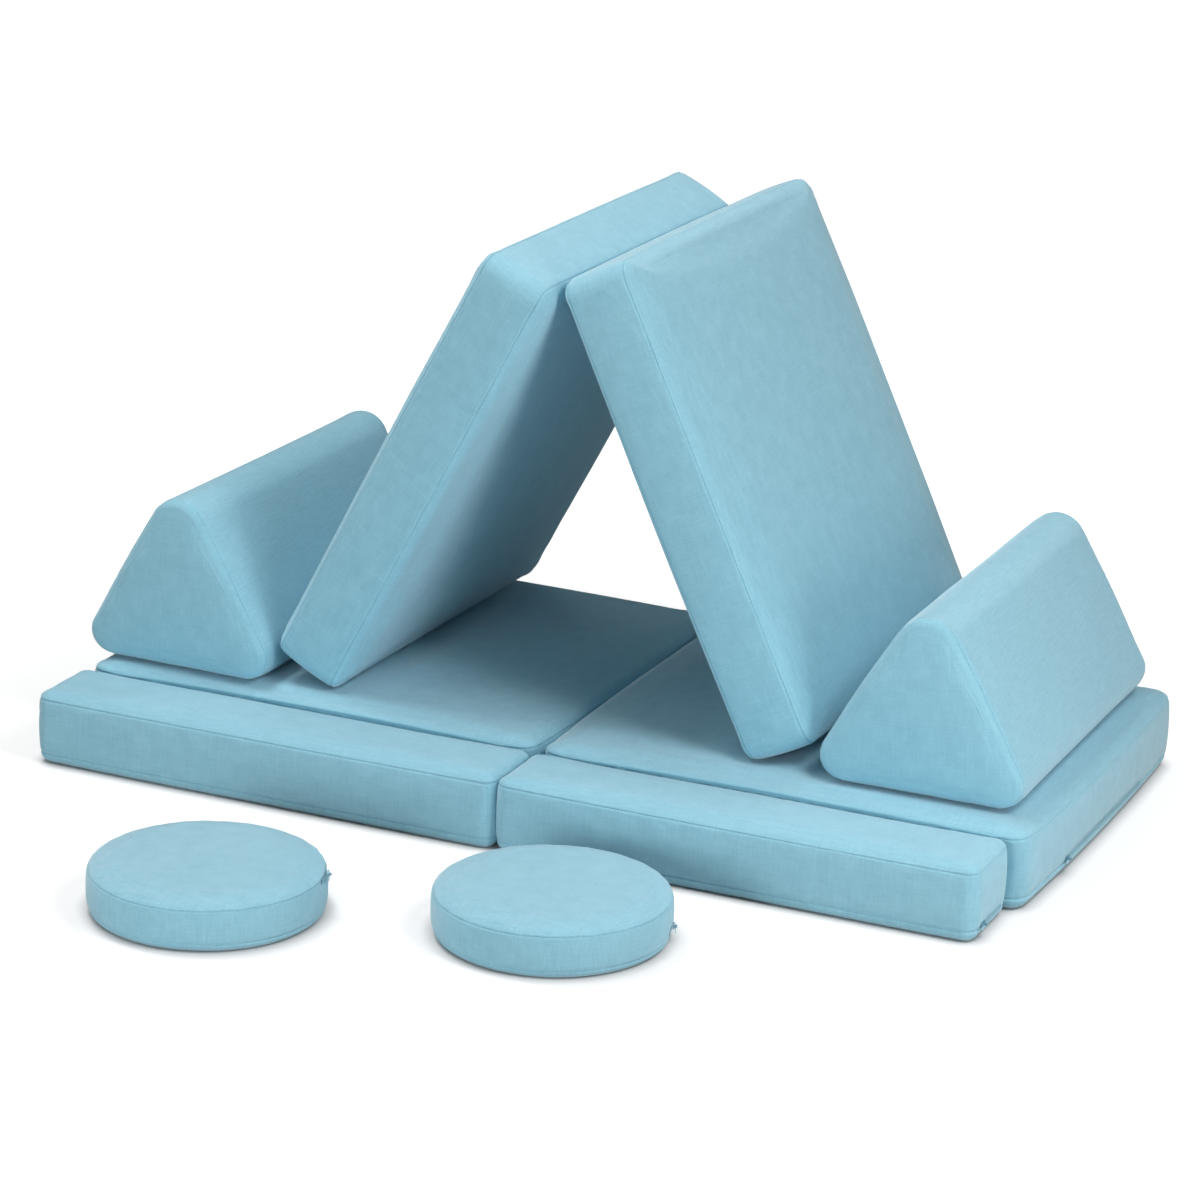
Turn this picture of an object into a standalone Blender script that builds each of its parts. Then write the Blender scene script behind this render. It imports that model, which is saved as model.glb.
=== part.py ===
"""Builds a modular foam play sofa, stood up as a tent, out of ten covered foam modules.

The modules are two base cushions, two long strips, two tent panels, two wedges and two
discs. Each one is a foam core in a sewn fabric cover that a zip closes, with a slider
and a pull tab on the zip. Lengths are in metres and +Z is up. The origin is the middle
of the left base cushion's underside.
"""
from collections import namedtuple
from math import atan2, cos, pi, radians, sin, sqrt

import bmesh
import bpy
from mathutils import Matrix, Vector

# Shared by every module
CLEARANCE = 0.0003
FABRIC = 0.0015
ZIP_OPENING = 0.008

# Base cushions
BASE_WIDTH = 0.806
BASE_DEPTH = 0.755
BASE_HEIGHT = 0.124
BASE_CROWN = 0.006
BASE_TOP_ROUND = 0.012
BASE_FOOT_ROUND = 0.020
BASE_CORNER = 0.028
BASE_BOW = 0.002
BASE_SIDE_BOW = 0.004
BASE_DRAW = 0.002

# Long strips in front of the bases
STRIP_LENGTH_LEFT = 0.817
STRIP_LENGTH_RIGHT = 0.785
STRIP_DEPTH = 0.150
STRIP_HEIGHT = 0.121
STRIP_CROWN = 0.004
STRIP_TOP_ROUND = 0.012
STRIP_FOOT_ROUND = 0.018
STRIP_CORNER = 0.022
STRIP_BOW = 0.002
STRIP_DRAW = 0.002

# Tent panels
PANEL_LENGTH = 0.798
PANEL_WIDTH = 0.734
PANEL_THICKNESS = 0.131
PANEL_SWELL = 0.003
PANEL_CROWN = 0.004
PANEL_ROUND = 0.014
PANEL_CORNER = 0.028

# Wedges, sized as the sharp triangle that their rounding cuts back
WEDGE_BASE = 0.389
WEDGE_HEIGHT = 0.340
WEDGE_LENGTH = 0.649
WEDGE_FOOT_ROUND = 0.041
WEDGE_RIDGE_ROUND = 0.050
WEDGE_END_ROUND = 0.015
WEDGE_CORNER = 0.020
WEDGE_SWELL = 0.005
WEDGE_BOW = 0.002

# Discs
DISC_RADIUS = 0.176
DISC_THICKNESS = 0.076
DISC_CROWN = 0.004
DISC_TOP_ROUND = 0.011
DISC_FOOT_ROUND = 0.014
DISC_SIDES = 32

# Places, all from the photograph. The tent's modules stand back from the bases' front by
# these distances, along the tent's own direction, and each wedge is turned a little from it.
TENT_X = 0.384
TENT_YAW = radians(-1.16)
PANEL_LEFT_LEAN = radians(62.7)
PANEL_RIGHT_LEAN = radians(64.1)
PANEL_LEFT_BACK = 0.041
PANEL_RIGHT_BACK = 0.078
WEDGE_LEFT_BACK = 0.009
WEDGE_RIGHT_BACK = 0.066
WEDGE_LEFT_TURN = 0.0
WEDGE_RIGHT_TURN = radians(1.43)
WEDGE_GAP = 0.0010
DISC_LEFT_X = 0.134
DISC_LEFT_Y = -0.937
DISC_RIGHT_X = 0.624
DISC_RIGHT_Y = -0.780

# Zips: a coil ridge on a tape, a slider on the ridge and a pull tab in the slider's arch
RIDGE_WIDTH = 0.0034
RIDGE_HEIGHT = 0.0009
SLIDER_LENGTH = 0.013
SLIDER_WIDTH = 0.0085
SLIDER_NOSE_WIDTH = 0.0055
SLIDER_HEIGHT = 0.0030
ARCH_WIDTH = 0.0018
ARCH_WINDOW_LENGTH = 0.0050
ARCH_WINDOW_HEIGHT = 0.0026
ARCH_BAR = 0.0012
PULL_LENGTH = 0.0215
PULL_WIDTH = 0.0064
PULL_NECK_WIDTH = 0.0054
PULL_THICKNESS = 0.0012
PULL_BAR = 0.0014
PULL_PLAY = 0.0004

# How the surfaces are divided, and how much of a side each zip takes
CROWN_RING_SHARE = 0.6
LONG_SIDE_SHARES = (-0.55, 0.55)
SHORT_SIDE_SHARES = (-0.82, 0.82)
PLAIN_SIDE_SHARES = (-0.4, 0.4)
CORNER_TURN_SHARES = (0.0, 0.5, 1.0)
CORNER_LIMIT_SHARE = 0.8
PANEL_ROUND_STEPS = 3
WEDGE_FOOT_TURNS = (radians(-90.0), radians(-50.0), radians(-10.0))
WEDGE_SWELL_SHARE = 0.5
STEEP_SHARE = 0.5
DISC_ZIP_START = 1
DISC_ZIP_END = 12

SIDES = ("+X", "+Y", "-X", "-Y")

Shape = namedtuple("Shape", "outline rows swell low_crown high_crown capped columns zip_row spare_row shift")


def material(name, colour, roughness, metallic=0.0):
    """A plain surface in one colour."""
    made = bpy.data.materials.new(name)
    made.use_nodes = True
    shader = made.node_tree.nodes["Principled BSDF"]
    shader.inputs["Base Color"].default_value = (*colour, 1.0)
    shader.inputs["Roughness"].default_value = roughness
    shader.inputs["Metallic"].default_value = metallic
    made.diffuse_color = (*colour, 1.0)
    return made


def make_materials():
    """The four materials, by the last word of the names of the pieces that have them."""
    fabric = material("cover_fabric", (0.36, 0.56, 0.65), 0.92)
    foam = material("foam", (0.86, 0.83, 0.72), 0.95)
    tape = material("zip_tape", (0.30, 0.49, 0.58), 0.80)
    metal = material("zip_metal", (0.62, 0.63, 0.64), 0.35, 1.0)
    return {"cover": fabric, "foam": foam, "zip": tape, "slider": metal, "pull": metal}


def edge_normal(start, end):
    """Outward normal of a profile edge that runs anticlockwise: out below, up, in above."""
    along = (end - start).normalized()
    return Vector((along.y, -along.x))


def moved_inward(before, here, after, depth):
    """The profile point moved so that both of its edges move inward by depth."""
    first = edge_normal(before, here)
    second = edge_normal(here, after)
    return here - (first + second) * (depth / (1.0 + first.dot(second)))


def offset_profile(points, depth):
    """A profile of (reach, height) points moved inward; its ends go on level to the middle."""
    low_end = Vector((0.0, points[0].y))
    high_end = Vector((0.0, points[-1].y))
    padded = [low_end] + points + [high_end]
    return [moved_inward(padded[i], padded[i + 1], padded[i + 2], depth) for i in range(len(points))]


def offset_rows(rows, depth):
    """Rows of (half width, half depth, height) moved inward by depth."""
    across = offset_profile([Vector((x, z)) for x, y, z in rows], depth)
    along = offset_profile([Vector((y, z)) for x, y, z in rows], depth)
    return [(a.x, b.x, a.y) for a, b in zip(across, along)]


def rounded_rectangle(half_x, half_y, corner, x_shares, y_shares, bow_x, bow_y):
    """An anticlockwise outline from the +X side on; the sides' own points bow outward."""
    straight_x = half_x - corner
    straight_y = half_y - corner
    points = []
    for turn in range(len(SIDES)):
        faces_x = turn % 2 == 0
        reach, straight = (half_x, straight_y) if faces_x else (half_y, straight_x)
        shares, bow = (y_shares, bow_x) if faces_x else (x_shares, bow_y)
        side = Matrix.Rotation(turn * pi / 2, 2)
        for share in shares:
            points.append(side @ Vector((reach + bow, share * straight)))
        for share in CORNER_TURN_SHARES:
            angle = share * pi / 2
            out = Vector((cos(angle), sin(angle))) * corner
            points.append(side @ (Vector((reach - corner, straight)) + out))
    return points


def side_columns(side, x_shares, y_shares):
    """The first and last outline point that the side's own shares gave."""
    start = 0
    for name in SIDES:
        shares = y_shares if name.endswith("X") else x_shares
        if name == side:
            return start, start + len(shares) - 1
        start += len(shares) + len(CORNER_TURN_SHARES)
    raise ValueError(side)


def block_outline(full_half_y, corner, x_shares, y_shares, bow_x=0.0, bow_y=0.0):
    """Outlines whose corner radius shrinks as the row is inset, so that walls stay even."""
    def outline(half_x, half_y):
        radius = min(corner - (full_half_y - half_y), CORNER_LIMIT_SHARE * half_x)
        return rounded_rectangle(half_x, half_y, radius, x_shares, y_shares, bow_x, bow_y)
    return outline


def circle_outline(half_x, half_y):
    """A regular outline that stands for a disc's edge."""
    turns = [2 * pi * i / DISC_SIDES for i in range(DISC_SIDES)]
    return [Vector((half_x * cos(turn), half_y * sin(turn))) for turn in turns]


def quarter_round(radius, count):
    """Insets and drops of a rounded edge, from the flat face to the side."""
    angles = [pi / 2 * i / count for i in range(count + 1)]
    return [(radius * (1 - sin(angle)), radius * (1 - cos(angle))) for angle in angles]


def block_rows(half_x, half_y, height, foot_round, top_round, draw, foot_steps):
    """Rows of a block cushion: rounded foot, zip opening, drawn-in top seam, rounded top."""
    rows = []
    for inset, rise in quarter_round(foot_round, foot_steps):
        rows.append((half_x - inset, half_y - inset, rise))
    rows.append((half_x, half_y, foot_round + ZIP_OPENING))
    for inset, drop in reversed(quarter_round(top_round, 2)):
        inset = max(inset, draw)
        rows.append((half_x - inset, half_y - inset, height - drop))
    return rows


def base_shape(zip_side):
    """A base cushion that stands on its flat underside."""
    half_x = BASE_WIDTH / 2
    half_y = BASE_DEPTH / 2
    outline = block_outline(half_y, BASE_CORNER, PLAIN_SIDE_SHARES, LONG_SIDE_SHARES,
                            bow_x=BASE_SIDE_BOW, bow_y=BASE_BOW)
    rows = block_rows(half_x, half_y, BASE_HEIGHT, BASE_FOOT_ROUND, BASE_TOP_ROUND, BASE_DRAW, 1)
    columns = side_columns(zip_side, PLAIN_SIDE_SHARES, LONG_SIDE_SHARES)
    return Shape(outline, rows, 0.0, 0.0, BASE_CROWN, (False, True), columns, 1, 2, Vector())


def strip_shape(length, zip_side):
    """A long strip with its zip on one end."""
    half_y = STRIP_DEPTH / 2
    outline = block_outline(half_y, STRIP_CORNER, PLAIN_SIDE_SHARES, SHORT_SIDE_SHARES, bow_y=STRIP_BOW)
    rows = block_rows(length / 2, half_y, STRIP_HEIGHT, STRIP_FOOT_ROUND, STRIP_TOP_ROUND, STRIP_DRAW, 1)
    columns = side_columns(zip_side, PLAIN_SIDE_SHARES, SHORT_SIDE_SHARES)
    return Shape(outline, rows, 0.0, 0.0, STRIP_CROWN, (False, True), columns, 1, 2, Vector())


def panel_shape(zip_side):
    """A tent panel lying on its inner face, with its origin in the round of its foot edge."""
    half_x = PANEL_LENGTH / 2
    half_y = PANEL_WIDTH / 2
    outline = block_outline(half_y, PANEL_CORNER, LONG_SIDE_SHARES, PLAIN_SIDE_SHARES)
    rows = block_rows(half_x, half_y, PANEL_THICKNESS, PANEL_ROUND, PANEL_ROUND, 0.0, PANEL_ROUND_STEPS)
    columns = side_columns(zip_side, LONG_SIDE_SHARES, PLAIN_SIDE_SHARES)
    shift = Vector((half_x - PANEL_ROUND, 0.0, -PANEL_ROUND))
    zip_row = PANEL_ROUND_STEPS
    return Shape(outline, rows, PANEL_SWELL, PANEL_CROWN, PANEL_CROWN, (True, True), columns,
                 zip_row, zip_row + 1, shift)


def wedge_slope():
    """Angle of a wedge's slopes from the vertical."""
    return atan2(WEDGE_BASE / 2, WEDGE_HEIGHT)


def wedge_rows():
    """Rows of a wedge: rounded foot corners, zip opening, swelling slopes, rounded ridge."""
    slope = wedge_slope()
    half_y = WEDGE_LENGTH / 2
    foot_centre_x = WEDGE_BASE / 2 - WEDGE_FOOT_ROUND / cos(slope) * (1 + sin(slope))
    rows = []
    for turn in WEDGE_FOOT_TURNS:
        reach = foot_centre_x + WEDGE_FOOT_ROUND * cos(turn)
        rise = WEDGE_FOOT_ROUND * (1 + sin(turn))
        below = max(WEDGE_END_ROUND - rise, 0.0)
        inset = WEDGE_END_ROUND - sqrt(WEDGE_END_ROUND ** 2 - below ** 2)
        rows.append((reach, half_y - inset, rise))
    reach, depth, rise = rows[-1]
    shoulder_x = foot_centre_x + WEDGE_FOOT_ROUND * cos(slope)
    shoulder_z = WEDGE_FOOT_ROUND * (1 + sin(slope))
    share = ZIP_OPENING / (shoulder_z - rise)
    rows.append((reach + (shoulder_x - reach) * share, depth, rise + ZIP_OPENING))
    rows.append((shoulder_x, depth, shoulder_z))
    ridge_centre_z = WEDGE_HEIGHT - WEDGE_RIDGE_ROUND / sin(slope)
    ridge_x = WEDGE_RIDGE_ROUND * cos(slope)
    ridge_z = ridge_centre_z + WEDGE_RIDGE_ROUND * sin(slope)
    middle_x = shoulder_x + (ridge_x - shoulder_x) * WEDGE_SWELL_SHARE
    middle_z = shoulder_z + (ridge_z - shoulder_z) * WEDGE_SWELL_SHARE
    rows.append((middle_x + WEDGE_SWELL * cos(slope), depth, middle_z + WEDGE_SWELL * sin(slope)))
    rows.append((ridge_x, depth, ridge_z))
    crest_z = ridge_centre_z + WEDGE_RIDGE_ROUND * cos(slope)
    rows.append((WEDGE_RIDGE_ROUND * sin(slope), depth - WEDGE_END_ROUND / 2, crest_z))
    return rows


def wedge_shape():
    """A wedge on its flat foot, with its zip across the back end."""
    outline = block_outline(WEDGE_LENGTH / 2, WEDGE_CORNER, SHORT_SIDE_SHARES, PLAIN_SIDE_SHARES,
                            bow_x=WEDGE_BOW)
    columns = side_columns("+Y", SHORT_SIDE_SHARES, PLAIN_SIDE_SHARES)
    crest = WEDGE_RIDGE_ROUND * (1 - cos(wedge_slope()))
    return Shape(outline, wedge_rows(), 0.0, 0.0, crest, (False, False), columns, 2, 3, Vector())


def disc_shape(zip_is_high):
    """A disc with its zip round the back of its edge, near the floor or near the top."""
    rows = []
    for inset, rise in quarter_round(DISC_FOOT_ROUND, 1):
        rows.append((DISC_RADIUS - inset, DISC_RADIUS - inset, rise))
    side_top = DISC_THICKNESS - DISC_TOP_ROUND
    cut = side_top - ZIP_OPENING if zip_is_high else DISC_FOOT_ROUND + ZIP_OPENING
    rows.append((DISC_RADIUS, DISC_RADIUS, cut))
    for inset, drop in reversed(quarter_round(DISC_TOP_ROUND, 2)):
        rows.append((DISC_RADIUS - inset, DISC_RADIUS - inset, DISC_THICKNESS - drop))
    zip_row = 2 if zip_is_high else 1
    columns = (DISC_ZIP_START, DISC_ZIP_END)
    return Shape(circle_outline, rows, 0.0, 0.0, DISC_CROWN, (False, True), columns, zip_row, 2, Vector())


def cap_ring(ring, crown):
    """The ring part of the way in over a face, raised to the crown's curve."""
    rise = crown * (1.0 - CROWN_RING_SHARE ** 2)
    return [Vector((p.x * CROWN_RING_SHARE, p.y * CROWN_RING_SHARE, p.z + rise)) for p in ring]


def swollen_ring(outline, half_x, z, swell):
    """The outline at a height, swollen by most at the middle of its length."""
    return [Vector((p.x, p.y, z + swell * (1.0 - (p.x / half_x) ** 2))) for p in outline]


def stacked_rings(shape, rows):
    """Rings and two poles of the surface that the rows give, in the module's own frame."""
    rings = []
    middle_z = (rows[0][2] + rows[-1][2]) / 2
    for half_x, half_y, z in rows:
        swell = -shape.swell if z < middle_z else shape.swell
        rings.append(swollen_ring(shape.outline(half_x, half_y), half_x, z, swell))
    low = Vector((0.0, 0.0, rows[0][2] - shape.swell - shape.low_crown))
    high = Vector((0.0, 0.0, rows[-1][2] + shape.swell + shape.high_crown))
    if shape.capped[0]:
        rings.insert(0, cap_ring(rings[0], -shape.low_crown))
    if shape.capped[1]:
        rings.append(cap_ring(rings[-1], shape.high_crown))
    rings = [[p + shape.shift for p in ring] for ring in rings]
    return rings, low + shape.shift, high + shape.shift


def add_skin(bm, rings, low, high, inside, gap=None):
    """Triangles over the rings and poles; gap is (row, first column, last column) left open.

    Every skin is split the same way, so that nested skins stay evenly apart.
    """
    verts = [[bm.verts.new(p) for p in ring] for ring in rings]
    low_vert = bm.verts.new(low)
    high_vert = bm.verts.new(high)
    count = len(rings[0])
    faces = []
    for j in range(count):
        k = (j + 1) % count
        faces.append((verts[0][k], verts[0][j], low_vert))
        faces.append((verts[-1][j], verts[-1][k], high_vert))
        for i in range(len(rings) - 1):
            if gap and i == gap[0] and gap[1] <= j < gap[2]:
                continue
            faces.append((verts[i][j], verts[i][k], verts[i + 1][k]))
            faces.append((verts[i][j], verts[i + 1][k], verts[i + 1][j]))
    for corners in faces:
        bm.faces.new(reversed(corners) if inside else corners)
    return verts


def join_gap(bm, outer, inner, gap):
    """Walls through the cover round its zip opening."""
    row, first, last = gap
    for j in range(first, last):
        bm.faces.new((outer[row][j], outer[row][j + 1], inner[row][j + 1], inner[row][j]))
        upper = row + 1
        bm.faces.new((outer[upper][j + 1], outer[upper][j], inner[upper][j], inner[upper][j + 1]))
    bm.faces.new((outer[row][first], inner[row][first], inner[row + 1][first], outer[row + 1][first]))
    bm.faces.new((outer[row + 1][last], inner[row + 1][last], inner[row][last], outer[row][last]))


def finished_mesh(bm, name):
    """The bmesh as smooth-shaded mesh data."""
    mesh = bpy.data.meshes.new(name)
    bm.to_mesh(mesh)
    bm.free()
    mesh.shade_smooth()
    return mesh


def zip_gap(shape):
    """The zip opening as (ring row, first column, last column)."""
    row = shape.zip_row + (1 if shape.capped[0] else 0)
    return (row, *shape.columns)


def cover_mesh(shape, name):
    """The sewn cover: an outer and an inner skin joined round the zip opening."""
    bm = bmesh.new()
    gap = zip_gap(shape)
    outer = add_skin(bm, *stacked_rings(shape, shape.rows), False, gap)
    inner = add_skin(bm, *stacked_rings(shape, offset_rows(shape.rows, FABRIC)), True, gap)
    join_gap(bm, outer, inner, gap)
    return finished_mesh(bm, name)


def foam_mesh(shape, name):
    """The foam core, which fills the cover but for a clearance; it needs no row for the zip."""
    rows = offset_rows(shape.rows, FABRIC + CLEARANCE)
    del rows[shape.spare_row]
    bm = bmesh.new()
    add_skin(bm, *stacked_rings(shape, rows), False)
    return finished_mesh(bm, name)


def zip_section(outer, inner, gap, column):
    """One cross-section of the closed zip, and the directions across it and out of it."""
    row, first, last = gap
    low, high = outer[row][column], outer[row + 1][column]
    low_in, high_in = inner[row][column], inner[row + 1][column]
    before = outer[row][max(column - 1, first)]
    after = outer[row][min(column + 1, last)]
    along = (after - before).normalized()
    out = along.cross(high - low).normalized()
    across = out.cross(along)
    middle = (low + high) / 2
    coil = across * (RIDGE_WIDTH / 2)
    lift = out * RIDGE_HEIGHT
    fit = across * CLEARANCE
    points = [low_in + fit, low + fit, middle - coil, middle - coil + lift,
              middle + coil + lift, middle + coil, high - fit, high_in - fit]
    return points, across, out, middle + lift


def zip_mesh(shape, name):
    """Tape and coil that close the opening, flush with the fabric but for the coil's ridge."""
    outer = stacked_rings(shape, shape.rows)[0]
    inner = stacked_rings(shape, offset_rows(shape.rows, FABRIC))[0]
    gap = zip_gap(shape)
    row, first, last = gap
    sections = [zip_section(outer, inner, gap, j)[0] for j in range(first, last + 1)]
    start_fit = (sections[1][0] - sections[0][0]).normalized() * CLEARANCE
    end_fit = (sections[-2][0] - sections[-1][0]).normalized() * CLEARANCE
    sections[0] = [p + start_fit for p in sections[0]]
    sections[-1] = [p + end_fit for p in sections[-1]]
    bm = bmesh.new()
    loops = [[bm.verts.new(p) for p in section] for section in sections]
    count = len(loops[0])
    for near, far in zip(loops, loops[1:]):
        for i in range(count):
            k = (i + 1) % count
            bm.faces.new((near[i], far[i], far[k], near[k]))
    bm.faces.new(loops[0])
    bm.faces.new(reversed(loops[-1]))
    return finished_mesh(bm, name)


def slider_frame(shape):
    """Where the slider stands: X along the zip, Y across it, Z out, on top of the coil."""
    outer = stacked_rings(shape, shape.rows)[0]
    inner = stacked_rings(shape, offset_rows(shape.rows, FABRIC))[0]
    gap = zip_gap(shape)
    row, first, last = gap
    is_curved = shape.outline is circle_outline
    column = first + 1 if is_curved else first
    points, across, out, place = zip_section(outer, inner, gap, column)
    along = across.cross(out)
    place = place + out * CLEARANCE
    if not is_curved:
        place = place + along * (CLEARANCE + SLIDER_LENGTH / 2)
    frame = Matrix((along, across, out)).transposed().to_4x4()
    frame.translation = place
    return frame


def prism(outline, low, high):
    """A closed prism over an anticlockwise outline of (x, y) points."""
    bm = bmesh.new()
    bottom = [bm.verts.new((x, y, low)) for x, y in outline]
    top = [bm.verts.new((x, y, high)) for x, y in outline]
    bm.faces.new(reversed(bottom))
    bm.faces.new(top)
    for i in range(len(outline)):
        k = (i + 1) % len(outline)
        bm.faces.new((bottom[i], bottom[k], top[k], top[i]))
    return bm


def ring_plate(outer, inner, low, high):
    """A plate with a window: both outlines anticlockwise, with as many points as each other."""
    bm = bmesh.new()
    loops = {}
    for z in (low, high):
        loops["outer", z] = [bm.verts.new((x, y, z)) for x, y in outer]
        loops["inner", z] = [bm.verts.new((x, y, z)) for x, y in inner]
    for i in range(len(outer)):
        k = (i + 1) % len(outer)
        out_low, out_high = loops["outer", low], loops["outer", high]
        in_low, in_high = loops["inner", low], loops["inner", high]
        bm.faces.new((out_low[i], out_low[k], out_high[k], out_high[i]))
        bm.faces.new((in_low[k], in_low[i], in_high[i], in_high[k]))
        bm.faces.new((out_high[i], out_high[k], in_high[k], in_high[i]))
        bm.faces.new((out_low[k], out_low[i], in_low[i], in_low[k]))
    return bm


def plain_mesh(bm, name):
    """The bmesh as flat-shaded mesh data."""
    mesh = bpy.data.meshes.new(name)
    bm.to_mesh(mesh)
    bm.free()
    return mesh


def slider_mesh():
    """The slider: a tapering body with an arch on top, as one solid."""
    half = SLIDER_LENGTH / 2
    tail = SLIDER_WIDTH / 2
    nose = SLIDER_NOSE_WIDTH / 2
    shoulder = ARCH_WINDOW_LENGTH / 2
    outline = [(-half, -nose), (shoulder, -tail), (half, -tail),
               (half, tail), (shoulder, tail), (-half, nose)]
    body = bpy.data.objects.new("slider_body", plain_mesh(prism(outline, 0.0, SLIDER_HEIGHT), "body"))
    window_x = ARCH_WINDOW_LENGTH / 2
    post_x = window_x + ARCH_BAR
    foot = SLIDER_HEIGHT / 2
    window_top = SLIDER_HEIGHT + ARCH_WINDOW_HEIGHT
    arch_top = window_top + ARCH_BAR
    outer = [(-post_x, foot), (post_x, foot), (post_x, arch_top), (-post_x, arch_top)]
    inner = [(-window_x, SLIDER_HEIGHT - foot / 2), (window_x, SLIDER_HEIGHT - foot / 2),
             (window_x, window_top), (-window_x, window_top)]
    plate = ring_plate(outer, inner, -ARCH_WIDTH / 2, ARCH_WIDTH / 2)
    bmesh.ops.transform(plate, matrix=Matrix.Rotation(pi / 2, 4, "X"), verts=plate.verts)
    arch = bpy.data.objects.new("slider_arch", plain_mesh(plate, "arch"))
    for part in (body, arch):
        bpy.context.scene.collection.objects.link(part)
    join = body.modifiers.new("join", "BOOLEAN")
    join.operation = "UNION"
    join.solver = "EXACT"
    join.object = arch
    shaped = body.evaluated_get(bpy.context.evaluated_depsgraph_get())
    mesh = bpy.data.meshes.new_from_object(shaped)
    for part in (body, arch):
        bpy.data.objects.remove(part)
    return mesh


def arch_reach():
    """From the pull's axis to the arch's outer corners, which the pull's window swings round."""
    across = ARCH_WINDOW_LENGTH / 2 + ARCH_BAR
    above = ARCH_WINDOW_HEIGHT / 2 + ARCH_BAR
    return sqrt(across ** 2 + above ** 2)


def pull_mesh():
    """The pull tab: a bar that turns under the arch, a window round the arch and a tab."""
    bar = PULL_BAR / 2
    window_end = arch_reach() + PULL_PLAY
    window_y = ARCH_WIDTH / 2 + PULL_PLAY
    neck_x = (window_end + PULL_LENGTH) / 3
    neck = PULL_NECK_WIDTH / 2
    tab = PULL_WIDTH / 2
    tip = PULL_LENGTH - tab
    middle = (bar + window_end) / 2
    outer = [(-bar, -neck), (neck_x, -neck), (tip, -tab), (PULL_LENGTH, 0.0),
             (tip, tab), (neck_x, neck), (-bar, neck), (-bar, 0.0)]
    inner = [(bar, -window_y), (middle, -window_y), (window_end, -window_y), (window_end, 0.0),
             (window_end, window_y), (middle, window_y), (bar, window_y), (bar, 0.0)]
    half = PULL_THICKNESS / 2
    return plain_mesh(ring_plate(outer, inner, -half, half), "pull")


def crown_rise(crown, share):
    """Height of a crowned face above its rim, a share of the way from middle to rim."""
    at_ring = 1.0 - CROWN_RING_SHARE ** 2
    if share < CROWN_RING_SHARE:
        return crown * (1.0 - (1.0 - at_ring) * share / CROWN_RING_SHARE)
    return crown * at_ring * (1.0 - share) / (1.0 - CROWN_RING_SHARE)


def base_top(distance):
    """Height of a base cushion's top at a distance to the side of its middle."""
    rim = BASE_WIDTH / 2 - BASE_TOP_ROUND
    return BASE_HEIGHT + crown_rise(BASE_CROWN, abs(distance) / rim)


def placed(x, y, z, yaw=0.0):
    """A module's place, turned about the vertical."""
    return Matrix.Translation((x, y, z)) @ Matrix.Rotation(yaw, 4, "Z")


def base_right_x():
    """Middle of the right base, which stands against the left one."""
    return BASE_WIDTH + 2 * BASE_SIDE_BOW + CLEARANCE


def strip_y():
    """Middle of the strips, which lie against the bases' front."""
    return -(BASE_DEPTH / 2 + BASE_BOW + CLEARANCE + STRIP_BOW + STRIP_DEPTH / 2)


def foot_spread(lean):
    """From the tent's middle to the round of a panel's foot, with the panels' tops together."""
    run = (PANEL_LENGTH - 2 * PANEL_ROUND) * cos(lean)
    turns = [pi / 2 * i / PANEL_ROUND_STEPS for i in range(PANEL_ROUND_STEPS + 1)]
    edge_reach = PANEL_ROUND * max(sin(lean + turn) for turn in turns)
    return run + edge_reach + CLEARANCE / 2


def heel_spread(lean):
    """From the round of a panel's foot out to the wedge's foot that stands against its heel."""
    depth = PANEL_THICKNESS - 2 * PANEL_ROUND
    heel_rise = PANEL_ROUND + depth * cos(lean)
    both_rounds = PANEL_ROUND + WEDGE_FOOT_ROUND
    apart = sqrt(both_rounds ** 2 - (heel_rise - WEDGE_FOOT_ROUND) ** 2)
    return depth * sin(lean) + apart - WEDGE_FOOT_ROUND + WEDGE_GAP


def wedge_reach():
    """From a wedge's middle to the outermost point of its rounded foot."""
    slope = wedge_slope()
    return WEDGE_BASE / 2 - WEDGE_FOOT_ROUND * ((1 + sin(slope)) / cos(slope) - 1)


def wedge_spread(lean, turn):
    """From the tent's middle to the middle of a wedge, which may be turned a little."""
    turned_reach = WEDGE_LENGTH / 2 * sin(turn)
    bowed_reach = WEDGE_BOW + turned_reach * PLAIN_SIDE_SHARES[-1]
    side_reach = max(turned_reach, bowed_reach)
    return foot_spread(lean) + heel_spread(lean) + wedge_reach() + side_reach


def tent_frame():
    """The tent's own frame: its middle at the bases' front, turned a little from the bases."""
    return placed(TENT_X, -BASE_DEPTH / 2, 0.0, TENT_YAW)


def resting_height(place, flat_x, flat_y, side):
    """Height that a flat foot stands at on its crowned base cushion."""
    base_x = 0.0 if side < 0 else base_right_x()
    corners = [place @ Vector((x, y, 0.0)) for x in (-flat_x, flat_x) for y in (-flat_y, flat_y)]
    nearest = min(abs(corner.x - base_x) for corner in corners)
    return base_top(nearest) + CLEARANCE


def panel_place(side, back, lean):
    """A panel's place: on its inner foot edge, leaning on the other panel."""
    spot = tent_frame() @ placed(side * foot_spread(lean), back + PANEL_WIDTH / 2, 0.0)
    spot.translation.z = resting_height(spot, 0.0, PANEL_WIDTH / 2, side) + PANEL_ROUND
    turn = Matrix.Rotation(0.0 if side < 0 else pi, 4, "Z")
    return spot @ turn @ Matrix.Rotation(-lean, 4, "Y")


def wedge_place(side, back, lean, turn):
    """A wedge's place: flat on its base cushion, against the panel's foot."""
    spread = wedge_spread(lean, turn)
    place = tent_frame() @ placed(side * spread, back + WEDGE_LENGTH / 2, 0.0, turn)
    flat_x, flat_y, _ = wedge_rows()[0]
    place.translation.z = resting_height(place, flat_x, flat_y, side)
    return place


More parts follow.
